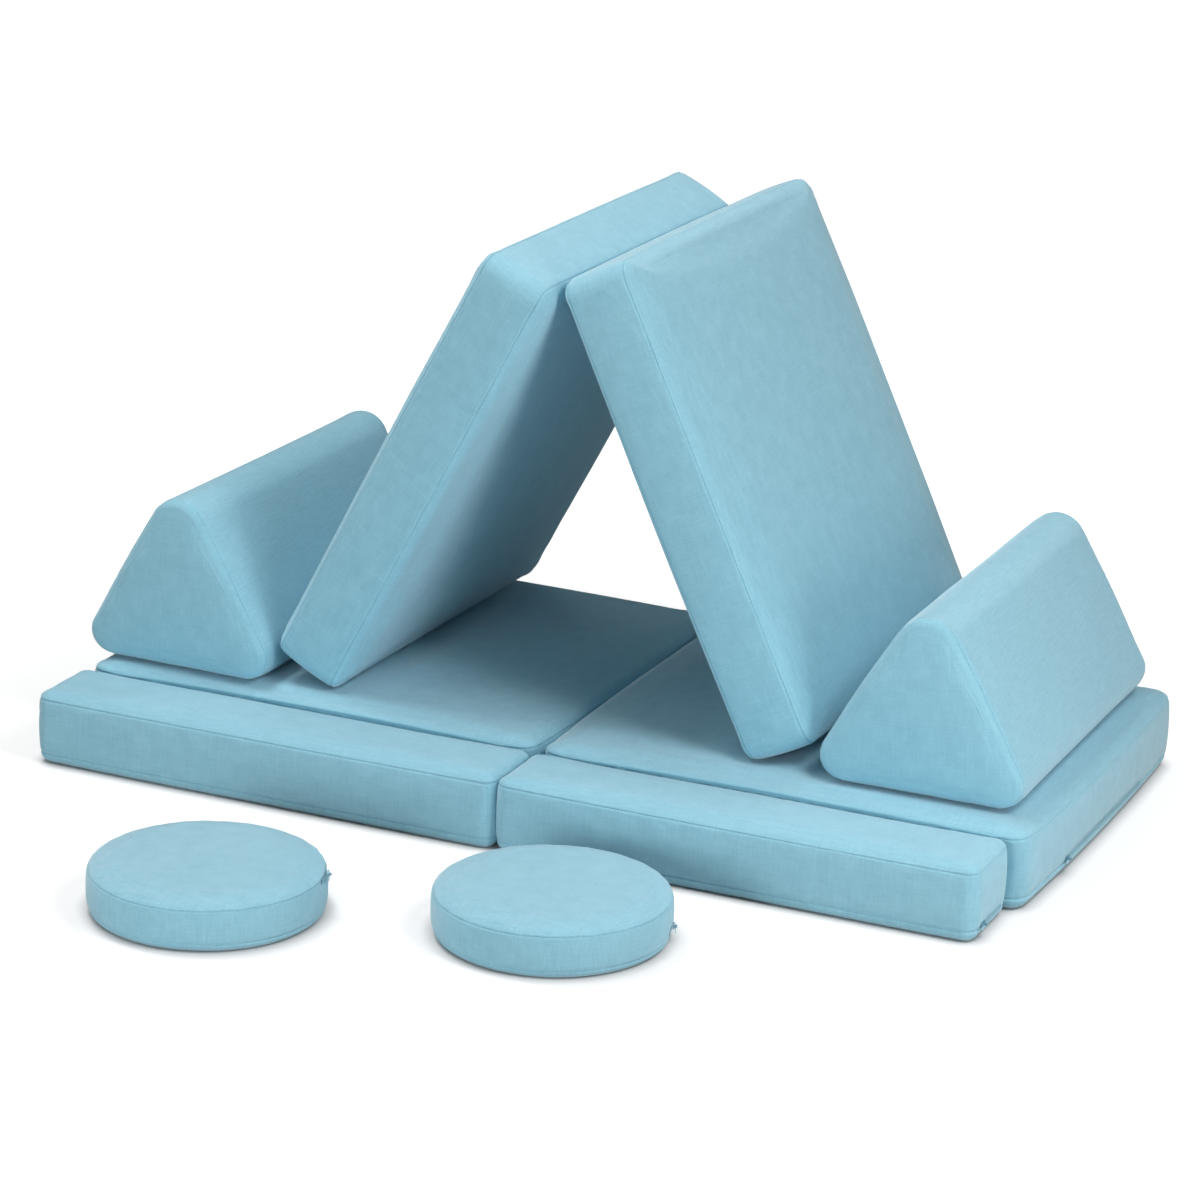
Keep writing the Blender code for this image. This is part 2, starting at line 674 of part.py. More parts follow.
def module_list():
    """Every module as (name, shape, place)."""
    join_x = base_right_x() / 2
    left_strip_x = join_x - (STRIP_LENGTH_LEFT + CLEARANCE) / 2
    right_strip_x = join_x + (STRIP_LENGTH_RIGHT + CLEARANCE) / 2
    left_wedge_place = wedge_place(-1, WEDGE_LEFT_BACK, PANEL_LEFT_LEAN, WEDGE_LEFT_TURN)
    right_wedge_place = wedge_place(1, WEDGE_RIGHT_BACK, PANEL_RIGHT_LEAN, WEDGE_RIGHT_TURN)
    return [
        ("base_left", base_shape("-X"), placed(0.0, 0.0, 0.0)),
        ("base_right", base_shape("+X"), placed(base_right_x(), 0.0, 0.0)),
        ("strip_left", strip_shape(STRIP_LENGTH_LEFT, "-X"), placed(left_strip_x, strip_y(), 0.0)),
        ("strip_right", strip_shape(STRIP_LENGTH_RIGHT, "+X"), placed(right_strip_x, strip_y(), 0.0)),
        ("panel_left", panel_shape("+Y"), panel_place(-1, PANEL_LEFT_BACK, PANEL_LEFT_LEAN)),
        ("panel_right", panel_shape("-Y"), panel_place(1, PANEL_RIGHT_BACK, PANEL_RIGHT_LEAN)),
        ("wedge_left", wedge_shape(), left_wedge_place),
        ("wedge_right", wedge_shape(), right_wedge_place),
        ("disc_left", disc_shape(True), placed(DISC_LEFT_X, DISC_LEFT_Y, 0.0)),
        ("disc_right", disc_shape(False), placed(DISC_RIGHT_X, DISC_RIGHT_Y, 0.0)),
    ]


def add_piece(name, mesh, parent, frame, materials):
    """One named piece, in the material that its name's last word calls for."""
    mesh.name = name
    mesh.materials.clear()
    mesh.materials.append(materials[name.split("_")[-1]])
    piece = bpy.data.objects.new(name, mesh)
    bpy.context.scene.collection.objects.link(piece)
    piece.parent = parent
    piece.matrix_local = frame
    return piece


def build_module(name, shape, place, slider, pull, materials):
    """A module's five pieces, hung on an empty at the module's place.

    The pull lies back along the zip, or hangs down where the zip runs down from the slider.
    """
    carrier = bpy.data.objects.new(name + "_place", None)
    bpy.context.scene.collection.objects.link(carrier)
    carrier.matrix_world = place
    add_piece(name + "_cover", cover_mesh(shape, name), carrier, Matrix(), materials)
    add_piece(name + "_foam", foam_mesh(shape, name), carrier, Matrix(), materials)
    add_piece(name + "_zip", zip_mesh(shape, name), carrier, Matrix(), materials)
    frame = slider_frame(shape)
    add_piece(name + "_slider", slider.copy(), carrier, frame, materials)
    axis = Vector((0.0, 0.0, SLIDER_HEIGHT + ARCH_WINDOW_HEIGHT / 2))
    runs_down = (place @ frame).col[0].z < -STEEP_SHARE
    flat = Matrix.Rotation(0.0 if runs_down else pi, 4, "Z")
    pull_frame = frame @ Matrix.Translation(axis) @ flat
    add_piece(name + "_pull", pull.copy(), carrier, pull_frame, materials)


def main():
    """Clears the scene and builds every module."""
    for old in list(bpy.data.objects):
        bpy.data.objects.remove(old)
    materials = make_materials()
    slider = slider_mesh()
    pull = pull_mesh()
    for name, shape, place in module_list():
        build_module(name, shape, place, slider, pull, materials)


main()
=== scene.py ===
"""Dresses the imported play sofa: sewn cushions, zips, studio floor, lamps and camera.

Every cushion is a stack of rings with a grid at either end, swelled by a cloth simulation
that is pinned at its seams. Lengths are in metres and +Z is up.
"""
from functools import partial
from math import atan2, cos, pi, radians, sin

import bpy
import numpy as np
from mathutils import Matrix, Vector, noise


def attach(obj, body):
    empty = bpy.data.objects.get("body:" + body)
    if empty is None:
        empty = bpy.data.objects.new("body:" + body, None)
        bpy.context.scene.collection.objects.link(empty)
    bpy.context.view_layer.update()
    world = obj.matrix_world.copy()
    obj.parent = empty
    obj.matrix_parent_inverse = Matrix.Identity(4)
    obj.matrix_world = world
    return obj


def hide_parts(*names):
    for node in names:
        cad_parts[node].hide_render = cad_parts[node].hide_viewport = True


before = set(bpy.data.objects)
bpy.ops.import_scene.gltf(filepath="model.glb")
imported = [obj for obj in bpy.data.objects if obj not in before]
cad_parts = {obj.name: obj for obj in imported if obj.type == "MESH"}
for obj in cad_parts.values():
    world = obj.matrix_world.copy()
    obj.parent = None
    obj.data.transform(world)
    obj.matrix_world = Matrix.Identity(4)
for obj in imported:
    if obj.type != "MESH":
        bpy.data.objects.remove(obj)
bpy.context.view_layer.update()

# The cushions: sizes, how far faces crown and sides bow or swell, and the radii of their corners
BASE = dict(width=0.800, depth=0.757, height=0.127, crown=0.0090, corner=0.028, bow_x=0.009, bow_y=0.012)
STRIP = dict(depth=0.150, height=0.121, crown=0.0035, corner=0.022, bow_x=0.0, bow_y=0.002)
STRIP_LENGTHS = {"left": 0.817, "right": 0.785}
PANEL = dict(length=0.798, width=0.734, thickness=0.131, swell=0.003, crown=0.007, crown_power=8,
             round=0.014, corner=0.029, bow_x=0.002, bow_y=0.004)
WEDGE = dict(base=0.389, height=0.340, length=0.649, foot=0.041, ridge=0.050, swell=0.003,
             low_crown=0.001, high_crown=0.004)
DISC = dict(radius=0.1775, thickness=0.077, crown=0.004)

# Their edges: how far each face's edge rolls in, how far its seam side reaches down, the low
# seam's height (the high one is at its lip) and how far the side between the seams bulges
BASE_EDGES = dict(low_roll=0.018, low_lip=0.018, low_seam=0.020,
                  high_roll=0.024, high_lip=0.012, bulge=0.0022)
STRIP_EDGES = dict(low_roll=0.016, low_lip=0.017, low_seam=0.018,
                   high_roll=0.020, high_lip=0.012, bulge=0.0022)
PANEL_EDGES = dict(low_roll=0.027, low_lip=0.0145, low_seam=0.0145,
                   high_roll=0.027, high_lip=0.0145, bulge=0.0022)
WEDGE_EDGES = dict(low_roll=0.014, low_lip=0.010, low_seam=0.010,
                   high_roll=0.014, high_lip=0.010, bulge=0.0)
DISC_EDGES = dict(low_roll=0.014, low_lip=0.014, low_seam=0.012,
                  high_roll=0.020, high_lip=0.011, bulge=0.0012)

# Places: x and y, then the height and the turn in degrees where they have one
BASE_PLACES = {"left": 0.0, "right": 0.8143}
STRIP_PLACES = {"left": (-0.0015, -0.4568), "right": (0.7998, -0.4568)}
PANEL_PLACES = {"left": (0.02504, 0.037852, 0.144138), "right": (0.743388, 0.060314, 0.143716)}
PANEL_LEANS = {"left": radians(62.7), "right": radians(64.1)}
WEDGE_PLACES = {"left": (-0.245891, -0.031177, 0.129233, -1.16),
                "right": (1.019766, 0.000207, 0.129562, 0.27)}
DISC_PLACES = {"left": (0.134, -0.937), "right": (0.624, -0.780)}
TENT = (0.384, -0.3775, 0.0)
TENT_YAW = radians(-1.16)

# Planes where cushions meet, and the room each one leaves there
JOIN_X = 0.40715
FRONT_Y = -0.37965
CLEAR = 0.0001
FLOOR = ((0, 0, 0.0), (0, 0, -1))

# The wedges' undersides curve up a little towards their ends: how much, how far in, how far up
WEDGE_LIFT = 0.008
WEDGE_LIFT_REACH = 0.07
WEDGE_LIFT_HEIGHT = 0.10

# What stands on the bases: how far its foot is under its place, and the foot's half sizes
PANEL_FOOT = (0.0146, 0.008, 0.35)
WEDGE_FOOT = (0.0004, 0.15, 0.31)
# Only what is above this height gives way, and it rises again so far, over so wide a slope
DENT_ABOVE = 0.09
DENT_RISE = 0.016
DENT_SLOPE = 0.075

# Zips: where their surface is, half their length, and their low and high edges
BASE_ZIP = dict(surface=0.407, half=0.192, low=0.020, high=0.028)
STRIP_ZIP = dict(half=0.0435, low=0.018, high=0.026)
PANEL_ZIP = dict(half=0.204, low=-0.003, high=0.008)
WEDGE_ZIP = dict(half=0.119, low=0.034, high=0.042)
DISC_ZIP = dict(surface=0.176 * cos(pi / 32), first=11.25, last=135.0, tall=0.008)
DISC_ZIP_LOWS = {"left": 0.057, "right": 0.014}
ZIP_SINK = 0.0007
ZIP_BLEND = 0.010

# One number per cushion for its waves and puckers
SEEDS = {"base_left": 1, "base_right": 2, "strip_left": 3, "strip_right": 4, "panel_left": 5,
         "panel_right": 6, "wedge_left": 8, "wedge_right": 9, "disc_left": 10, "disc_right": 11}

# The meshes: cell size, cells round a corner, and rows beside a seam and elsewhere
CELL = 0.0066
CORNER_CELLS = 6
FINE_ROWS = dict(offsets=(0.0, 0.0009, 0.0019, 0.0032, 0.005, 0.0075), gap=0.0030, spacing=0.0030)
COARSE_ROWS = dict(offsets=(0.0, 0.004), gap=0.007, spacing=2 * CELL * 0.7)
ROW_CLOSEST = 0.75
ROW_MARGIN = 0.001
ROLL_POWER = 0.8
# Points drawn along a profile's roll and its side
ROLL_POINTS = 60
SIDE_POINTS = 160
# A wedge's outline: points along its foot, its foot's corner, its slope and half its ridge, how
# much of the corner goes with the foot, how far from the ridge's middle the ridge's cells start,
# and the step either way that gives the normals
WEDGE_POINTS = (60, 160, 300, 120)
FOOT_CUT = 0.9
RIDGE_REACH = 0.165
OUTLINE_STEP = 5e-4

# The cloth simulation, the most it may swell a cushion, and the foam's depth under the cover
CLOTH_FRAMES = 20
CLOTH_PRESSURE = 4.0
CLOTH_SLACK = -0.001
CLOTH_QUALITY = 5
SWELL_CAP = 0.0025
CORE_DEPTH = 0.006

# Seams: puckers' height, reach and two lengths, then the groove's and the dip's depth and width
SEAM_REACH = 0.03
PUCKER = 0.00030
PUCKER_REACH = 0.009
PUCKER_LENGTHS = (0.010, 0.024)
PUCKER_SHARE = 0.6
GROOVE = (0.0023, 0.0015)
DIP = (0.0007, 0.006)
# Slow waves of the faces: height, length and what is added to the cushion's number
WAVES = ((0.0009, 0.20, 3), (0.00025, 0.06, 5))
# How the noises move on with that number, and what brings a line's noise to about -1 to 1
NOISE_SHIFT = (13.7, 7.3, 3.1)
ARC_SHIFT = (5.3, 2.9, 11.1)
ARC_GAIN = 1.8

# Linear colours
FABRIC_COLOURS = ((0.238, 0.505, 0.625, 1), (0.330, 0.632, 0.752, 1))
FOAM_COLOURS = ((0.80, 0.76, 0.62, 1), (0.90, 0.87, 0.76, 1))
TAPE_COLOURS = ((0.20, 0.38, 0.45, 1), (0.30, 0.50, 0.58, 1))
METAL_COLOUR = (0.30, 0.48, 0.56, 1)
METAL_ROUGHNESS = ((0.25, 0.25, 0.25, 1), (0.50, 0.50, 0.50, 1))
WHITE = (1, 1, 1, 1)
FLOOR_COLOUR = (0.55, 0.55, 0.55, 1)
# The weave: noise across and along a thread, fleck, mottle and thread counts, and their shares
SLUB_ACROSS = 620.0
SLUB_ALONG = 34.0
FLECK = 420.0
MOTTLE = 9.0
THREADS = 310.0
SLUB_SHARE = 0.45
FLECK_SHARE = 0.35
MOTTLE_SHARE = 0.25
RAMP_START = 0.681
RAMP_GAIN = 1.7

WORLD_LIGHT = 0.03
LIT_MIDDLE = Vector((0.40, -0.30, 0.25))
# Name, direction from the front round to the right in degrees, height in degrees, distance, size, power
LAMPS = (
    ("left", -90, 65, 3.2, 1.0, 50.0),
    ("high_left", -50, 50, 3.2, 1.0, 8.0),
    ("front", -7, 5, 3.2, 1.0, 35.0),
    ("low_right", 72, 8, 2.3, 0.8, 12.0),
    ("right", 72, 48, 3.2, 1.0, 42.0),
    ("back_right", 115, 30, 3.2, 1.0, 8.0),
    ("back", 180, 60, 3.2, 1.0, 8.0),
)
# The middle of the lit floor; then its glow's near and far distance, and its strength at each
LIT_FLOOR = (0.40, -0.55, 0.0)
FLOOR_GLOW = (0.7, 2.4, 0.55, 1.0)
# How near to a piece the floor's glow fades, as painted shade beside and under it, and the shares of open
# sky where that glow starts and is full
PAINTED_SHADE_REACH = 0.03
PAINTED_SHADE_SHARES = (0.25, 0.85)
FLOOR_HALF = 40

# The photograph's view: focal length in pixels of its 1200, shift, eye, and the ways right and ahead
FOCAL_PIXELS = 4192.15
FRAME_PIXELS = 1200
SENSOR = 36.0
SHIFT = (0.00237, -0.00109)
EYE = (2.956, -5.990, 2.379)
EYE_RIGHT = (0.91170, 0.40965, 0.03157)
EYE_AHEAD = (-0.38072, 0.87120, -0.30991)
FAR_CLIP = 200.0


def smooth_noise(points, scale, seed):
    """One value from -1 to 1 for each point, smooth over the scale."""
    shift = Vector([seed * part for part in NOISE_SHIFT])
    return np.array([noise.noise(Vector(p) / scale + shift) for p in points])


def arc_noise(t, total, scale, seed):
    """Smooth values along a closed line, about -1 to 1."""
    turns = max(total / scale / (2 * pi), 0.5)
    shift = Vector([seed * part for part in ARC_SHIFT])
    spots = [Vector((cos(a) * turns, sin(a) * turns, 0.0)) for a in 2 * pi * t / total]
    return np.array([noise.noise(spot + shift) * ARC_GAIN for spot in spots])


def even_cells(length):
    """An even number of cells about CELL long."""
    return max(4, 2 * int(round(length / CELL / 2)))


def run_of(line):
    """How far along a line of points each of them is."""
    return np.concatenate([[0], np.cumsum(np.hypot(*np.diff(line, axis=0).T))])


# Outlines: a closed line of points with outward normals, and the cells of its two directions
def block_axis(half, corner):
    """Places along one axis of a block, and the tangent of the corner's angle at each."""
    turn = np.tan(np.linspace(0, pi / 4, CORNER_CELLS + 1))[1:]
    straight = half - corner
    base = np.linspace(-straight, straight, even_cells(2 * straight) + 1)
    bend = np.concatenate([-turn[::-1], np.zeros(len(base)), turn])
    ends = (np.full(CORNER_CELLS, -straight), np.full(CORNER_CELLS, straight))
    return np.concatenate([ends[0], base, ends[1]]), bend


def block_outline(half_x, half_y, corner, bow_x, bow_y):
    """Rounded rectangle whose sides bow out a little."""
    (base_x, bend_x), (base_y, bend_y) = block_axis(half_x, corner), block_axis(half_y, corner)
    nx, ny = len(base_x) - 1, len(base_y) - 1
    order = [(i, 0) for i in range(nx)] + [(nx, j) for j in range(ny)]
    order += [(i, ny) for i in range(nx, 0, -1)] + [(0, j) for j in range(ny, 0, -1)]
    i, j = np.array(order).T
    bend = np.stack([bend_x[i], bend_y[j]], 1)
    side_x = ((i == 0) | (i == nx)) & (bend_y[j] == 0)
    side_y = ((j == 0) | (j == ny)) & (bend_x[i] == 0)
    bend[side_x, 0] = np.sign(base_x[i][side_x])
    bend[side_y, 1] = np.sign(base_y[j][side_y])
    normal = bend / np.maximum(np.hypot(bend[:, 0], bend[:, 1]), 1e-9)[:, None]
    point = np.stack([base_x[i], base_y[j]], 1) + normal * corner
    point[:, 0] += bow_x * normal[:, 0] * (1 - (point[:, 1] / half_y) ** 2)
    point[:, 1] += bow_y * normal[:, 1] * (1 - (point[:, 0] / half_x) ** 2)
    return point, normal, nx, ny


def disc_outline(radius):
    """Circle, cut into four sides."""
    cells = even_cells(2 * pi * radius / 4)
    angle = radians(225) + np.arange(4 * cells) * 2 * pi / (4 * cells)
    normal = np.stack([np.cos(angle), np.sin(angle)], 1)
    return normal * radius, normal, cells, cells


def wedge_outline(base, height, foot, ridge, swell):
    """Rounded triangle in the wedge's end plane, cut into foot, slope, ridge and slope."""
    slope = atan2(base / 2, height)
    foot_x = base / 2 - foot / cos(slope) * (1 + sin(slope))
    ridge_z = height - ridge / sin(slope)
    start = Vector((foot_x + foot * cos(slope), foot * (1 + sin(slope))))
    end = Vector((ridge * cos(slope), ridge_z + ridge * sin(slope)))
    on_foot, on_corner, on_slope, on_ridge = WEDGE_POINTS
    line = [(x, 0.0) for x in np.linspace(0.0, foot_x, on_foot)[:-1]]
    for a in np.linspace(-pi / 2, slope, on_corner)[:-1]:
        line.append((foot_x + foot * cos(a), foot * (1 + sin(a))))
    for share in np.linspace(0, 1, on_slope)[:-1]:
        out = swell * sin(pi * share)
        at = start.lerp(end, share)
        line.append((at.x + out * cos(slope), at.y + out * sin(slope)))
    for a in np.linspace(slope, pi / 2, on_ridge):
        line.append((ridge * cos(a), ridge_z + ridge * sin(a)))
    half = np.array(line)
    loop = np.concatenate([half, (half * (-1, 1))[::-1][1:]])
    along = run_of(loop)
    total = along[-1]
    foot_mid = foot_x + foot * pi / 4 * FOOT_CUT
    top_cut = total / 2 - RIDGE_REACH
    marks = [-foot_mid, foot_mid, top_cut, total - top_cut, total - foot_mid]
    nx = even_cells(2 * foot_mid)
    nz = even_cells(top_cut - foot_mid)
    where = []
    for first, last, cells in zip(marks, marks[1:], (nx, nz, nx, nz)):
        where.extend(np.linspace(first, last, cells + 1)[:-1])
    where = np.mod(np.array(where), total)

    def at_places(places):
        return np.stack([np.interp(places, along, loop[:, c]) for c in (0, 1)], 1)

    way = at_places(np.mod(where + OUTLINE_STEP, total)) - at_places(np.mod(where - OUTLINE_STEP, total))
    normal = np.stack([way[:, 1], -way[:, 0]], 1)
    normal /= np.hypot(normal[:, 0], normal[:, 1])[:, None]
    return at_places(where), normal, nx, nz


# Profiles: the line from the low face over the side to the high face, as (inset, height)
def rolled(roll_in, lip):
    """A face's edge from its seam inward, as (inset, distance to the face)."""
    angles = np.linspace(0, pi / 2, ROLL_POINTS)
    return [(roll_in * (1 - cos(a)) ** ROLL_POWER, lip * (1 - sin(a))) for a in angles]


def profile(height, low_roll, low_lip, low_seam, high_roll, high_lip, bulge):
    """The profile's points, how far along it each one is, and where its seams are."""
    line = [(inset, lip) for inset, lip in rolled(low_roll, low_lip)[::-1]]
    for share in np.linspace(0, 1, SIDE_POINTS)[1:-1]:
        line.append((-bulge * sin(pi * share), low_lip + share * (height - high_lip - low_lip)))
    line += [(inset, height - lip) for inset, lip in rolled(high_roll, high_lip)]
    line = np.array(line)
    along = run_of(line)
    seams = [float(np.interp(level, line[:, 1], along)) for level in (low_seam, height - high_lip)]
    return line, along, seams


def row_places(along, seams, offsets, gap, spacing):
    """Where the rings go along a profile: close at the seams and the rounds, wider elsewhere."""
    total = along[-1]
    places = {0.0, total}
    for seam in seams:
        for offset in offsets:
            for sign in (-1, 1):
                if ROW_MARGIN < seam + sign * offset < total - ROW_MARGIN:
                    places.add(seam + sign * offset)
    for candidate in np.arange(gap, total, spacing):
        if min(abs(candidate - p) for p in places) > gap * ROW_CLOSEST:
            places.add(float(candidate))
    return np.array(sorted(places))


class Form:
    """Rings and end grids of one cushion in its building frame (across, along, stack height)."""

    def __init__(self, outline, profile_data, crowns, fine, crown_power):
        point, normal, nx, ny = outline
        if not fine:
            point, normal, nx, ny = point[::2], normal[::2], nx // 2, ny // 2
        line, along, seams = profile_data
        self.nx, self.ny, self.loop, self.seams = nx, ny, len(point), seams
        self.crown_power = crown_power
        self.rows = row_places(along, seams, **(FINE_ROWS if fine else COARSE_ROWS))
        inset = np.interp(self.rows, along, line[:, 0])
        level = np.interp(self.rows, along, line[:, 1])
        rings = np.zeros((len(self.rows), self.loop, 3))
        rings[:, :, :2] = point[None] - normal[None] * inset[:, None, None]
        rings[:, :, 2] = level[:, None]
        step = np.hypot(*(np.roll(point, -1, 0) - point).T)
        self.around = np.concatenate([[0], np.cumsum(step)[:-1]])
        self.perimeter = step.sum()
        low_grid, low_index = self.grid(rings[0], 0, -crowns[0])
        high_grid, high_index = self.grid(rings[-1], (len(self.rows) - 1) * self.loop, crowns[1])
        count = rings.shape[0] * self.loop
        inner = (nx - 1) * (ny - 1)
        low_index[1:-1, 1:-1] = count + np.arange(inner).reshape(nx - 1, ny - 1)
        high_index[1:-1, 1:-1] = count + inner + np.arange(inner).reshape(nx - 1, ny - 1)
        self.verts = np.concatenate([rings.reshape(-1, 3), low_grid[1:-1, 1:-1].reshape(-1, 3),
                                     high_grid[1:-1, 1:-1].reshape(-1, 3)])
        self.faces = self.all_faces(low_index, high_index)
        self.profile_place = np.concatenate([np.repeat(self.rows, self.loop), np.full(inner, -1.0),
                                             np.full(inner, along[-1] + 1.0)])

    def grid(self, ring, start, crown):
        """A face over a ring by blending its four sides, crowned in the middle."""
        nx, ny, loop = self.nx, self.ny, self.loop
        index = np.zeros((nx + 1, ny + 1), int)
        index[:, 0] = np.arange(nx + 1)
        index[nx, :] = nx + np.arange(ny + 1)
        index[:, ny] = nx + ny + np.arange(nx + 1)[::-1]
        index[0, :] = (2 * nx + ny + np.arange(ny + 1)[::-1]) % loop
        bottom, top = ring[index[:, 0]], ring[index[:, ny]]
        left, right = ring[index[0]], ring[index[nx]]
        u = self.spread(bottom)[:, None, None]
        v = self.spread(left)[None, :, None]
        blend = (1 - v) * bottom[:, None] + v * top[:, None] + (1 - u) * left[None] + u * right[None]
        corners = ((1 - u) * (1 - v) * ring[index[0, 0]] + u * (1 - v) * ring[index[nx, 0]]
                   + (1 - u) * v * ring[index[0, ny]] + u * v * ring[index[nx, ny]])
        face = blend - corners
        side_x = np.abs(face[:, :, 0] / np.abs(ring[:, 0]).max())
        centre_y = (ring[:, 1].max() + ring[:, 1].min()) / 2
        side_y = np.abs((face[:, :, 1] - centre_y) / (ring[:, 1].max() - centre_y))
        power = self.crown_power
        face[:, :, 2] += crown * np.clip(1 - side_x ** power, 0, 1) * np.clip(1 - side_y ** power, 0, 1)
        return face, index + start

    @staticmethod
    def spread(line):
        """Shares of the way along a line of points."""
        steps = np.linalg.norm(np.diff(line, axis=0), axis=1)
        along = np.concatenate([[0], np.cumsum(steps)])
        return along / along[-1]

    def all_faces(self, low, high):
        """Corner numbers of the side's and both ends' faces."""
        rows, loop = len(self.rows), self.loop
        r, k = np.meshgrid(np.arange(rows - 1), np.arange(loop), indexing="ij")
        n = (k + 1) % loop
        side = np.stack([r * loop + k, r * loop + n, (r + 1) * loop + n, (r + 1) * loop + k], -1)
        high_faces = np.stack([high[:-1, :-1], high[1:, :-1], high[1:, 1:], high[:-1, 1:]], -1)
        low_faces = np.stack([low[:-1, :-1], low[:-1, 1:], low[1:, 1:], low[1:, :-1]], -1)
        return np.concatenate([f.reshape(-1, 4) for f in (side, high_faces, low_faces)])

    def split(self, values):
        """Values of the vertices as (rings, low inner grid, high inner grid)."""
        count = len(self.rows) * self.loop
        inner = (self.nx - 1) * (self.ny - 1)
        shape = (self.nx - 1, self.ny - 1, 3)
        rings = values[:count].reshape(len(self.rows), self.loop, 3)
        return rings, values[count:count + inner].reshape(shape), values[count + inner:].reshape(shape)


def finer(values, axis, closed):
    """Values on twice as many places along an axis."""
    after = np.roll(values, -1, axis) if closed else np.take(values, range(1, values.shape[axis]), axis)
    before = values if closed else np.take(values, range(values.shape[axis] - 1), axis)
    middle = (before + after) / 2
    shape = list(values.shape)
    shape[axis] = values.shape[axis] + middle.shape[axis]
    out = np.empty(shape)
    evens = [slice(None)] * values.ndim
    odds = [slice(None)] * values.ndim
    evens[axis] = slice(0, None, 2)
    odds[axis] = slice(1, None, 2)
    out[tuple(evens)] = values
    out[tuple(odds)] = middle
    return out


def onto_fine(coarse, fine, moves):
    """The coarse form's moves at the fine form's vertices."""
    rings, low, high = coarse.split(moves)
    rings = finer(rings, 1, True)
    share = np.interp(fine.rows, coarse.rows, np.arange(len(coarse.rows)))
    first = np.minimum(share.astype(int), len(coarse.rows) - 2)
    rest = (share - first)[:, None, None]
    on_rings = rings[first] * (1 - rest) + rings[first + 1] * rest
    parts = [on_rings.reshape(-1, 3)]
    for grid, ring in ((low, on_rings[0]), (high, on_rings[-1])):
        nx, ny, loop = fine.nx, fine.ny, fine.loop
        full = np.zeros((coarse.nx + 1, coarse.ny + 1, 3))
        full[1:-1, 1:-1] = grid
        full[:, 0] = ring[np.arange(0, nx + 1, 2)]
        full[-1, :] = ring[nx + np.arange(0, ny + 1, 2)]
        full[:, -1] = ring[nx + ny + np.arange(0, nx + 1, 2)[::-1]]
        full[0, :] = ring[(2 * nx + ny + np.arange(0, ny + 1, 2)[::-1]) % loop]
        full = finer(finer(full, 0, False), 1, False)
        parts.append(full[1:-1, 1:-1].reshape(-1, 3))
    return np.concatenate(parts)


def vertex_normals(verts, faces):
    a, b, c, d = (verts[faces[:, i]] for i in range(4))
    face_normal = np.cross(c - a, d - b)
    out = np.zeros_like(verts)
    for i in range(4):
        np.add.at(out, faces[:, i], face_normal)
    return out / np.maximum(np.linalg.norm(out, axis=1), 1e-12)[:, None]


def mesh_from(name, verts, faces):
    mesh = bpy.data.meshes.new(name)
    mesh.from_pydata(verts.tolist(), [], faces.tolist())
    mesh.shade_smooth()
    return mesh


def add_object(name, data):
    """An object of this scene."""
    made = bpy.data.objects.new(name, data)
    bpy.context.scene.collection.objects.link(made)
    return made


def cloth_moves(form, pinned):
    """Where a cloth simulation under pressure takes each vertex, with some of them pinned."""
    mesh = mesh_from("cloth", form.verts, form.faces)
    cloth = add_object("cloth", mesh)
    group = cloth.vertex_groups.new(name="pin")
    group.add([int(i) for i in np.nonzero(pinned)[0]], 1.0, "REPLACE")
    cover = cloth.modifiers.new("cloth", "CLOTH")
    cover.settings.vertex_group_mass = "pin"
    cover.settings.use_pressure = True
    cover.settings.uniform_pressure_force = CLOTH_PRESSURE
    cover.settings.shrink_min = CLOTH_SLACK
    cover.settings.effector_weights.gravity = 0.0
    cover.settings.quality = CLOTH_QUALITY
    cover.collision_settings.use_collision = False
    for step in range(1, CLOTH_FRAMES + 1):
        bpy.context.scene.frame_set(step)
    shaped = cloth.evaluated_get(bpy.context.evaluated_depsgraph_get())
    out = np.zeros(len(form.verts) * 3, np.float32)
    shaped.data.vertices.foreach_get("co", out)
    bpy.data.objects.remove(cloth)
    bpy.data.meshes.remove(mesh)
    return out.reshape(-1, 3).astype(float) - form.verts


def capped(moves, cap):
    """Moves that level off at the cap."""
    size = np.linalg.norm(moves, axis=1)
    return moves * (cap * np.tanh(size / cap) / np.maximum(size, 1e-9))[:, None]


def cushion_form(outline, profile_data, crowns, seed, flat_low=True, crown_power=2):
    """Fine and coarse surface of a cushion, swelled between its seams, in its building frame."""
    fine = Form(outline, profile_data, crowns, True, crown_power)
    coarse = Form(outline, profile_data, crowns, False, crown_power)
    pinned = np.zeros(len(coarse.verts), bool)
    for seam in coarse.seams:
        pinned |= np.abs(coarse.profile_place - seam) < 1e-6
    if flat_low:
        pinned |= coarse.profile_place < 1e-6
    moves = capped(cloth_moves(coarse, pinned), SWELL_CAP)
    verts = fine.verts + onto_fine(coarse, fine, moves)
    normals = vertex_normals(verts, fine.faces)
    verts = verts + normals * surface_detail(fine, verts, seed)[:, None]
    core = coarse.verts + moves - vertex_normals(coarse.verts, coarse.faces) * CORE_DEPTH
    return fine, verts, coarse, core


def surface_detail(form, verts, seed):
    """How far the surface stands out: seam grooves, puckers beside them and slow waves."""
    push = np.zeros(len(verts))
    for number, seam in enumerate(form.seams):
        gap = form.profile_place - seam
        near = np.abs(gap) < SEAM_REACH
        fade = np.where(near, np.exp(-(gap / PUCKER_REACH) ** 2), 0.0)
        short, long = (arc_noise(form.around, form.perimeter, length, seed + number + later) * PUCKER_SHARE
                       for length, later in zip(PUCKER_LENGTHS, (0, 7)))
        pucker = np.tile(short + long, len(form.rows))
        ring_count = len(pucker)
        push[:ring_count] += PUCKER * pucker * fade[:ring_count]
        for depth, width in (GROOVE, DIP):
            push -= np.where(near, depth * np.exp(-(gap / width) ** 2), 0.0)
    for height, length, later in WAVES:
        push += height * smooth_noise(verts, length, seed + later)
    return push


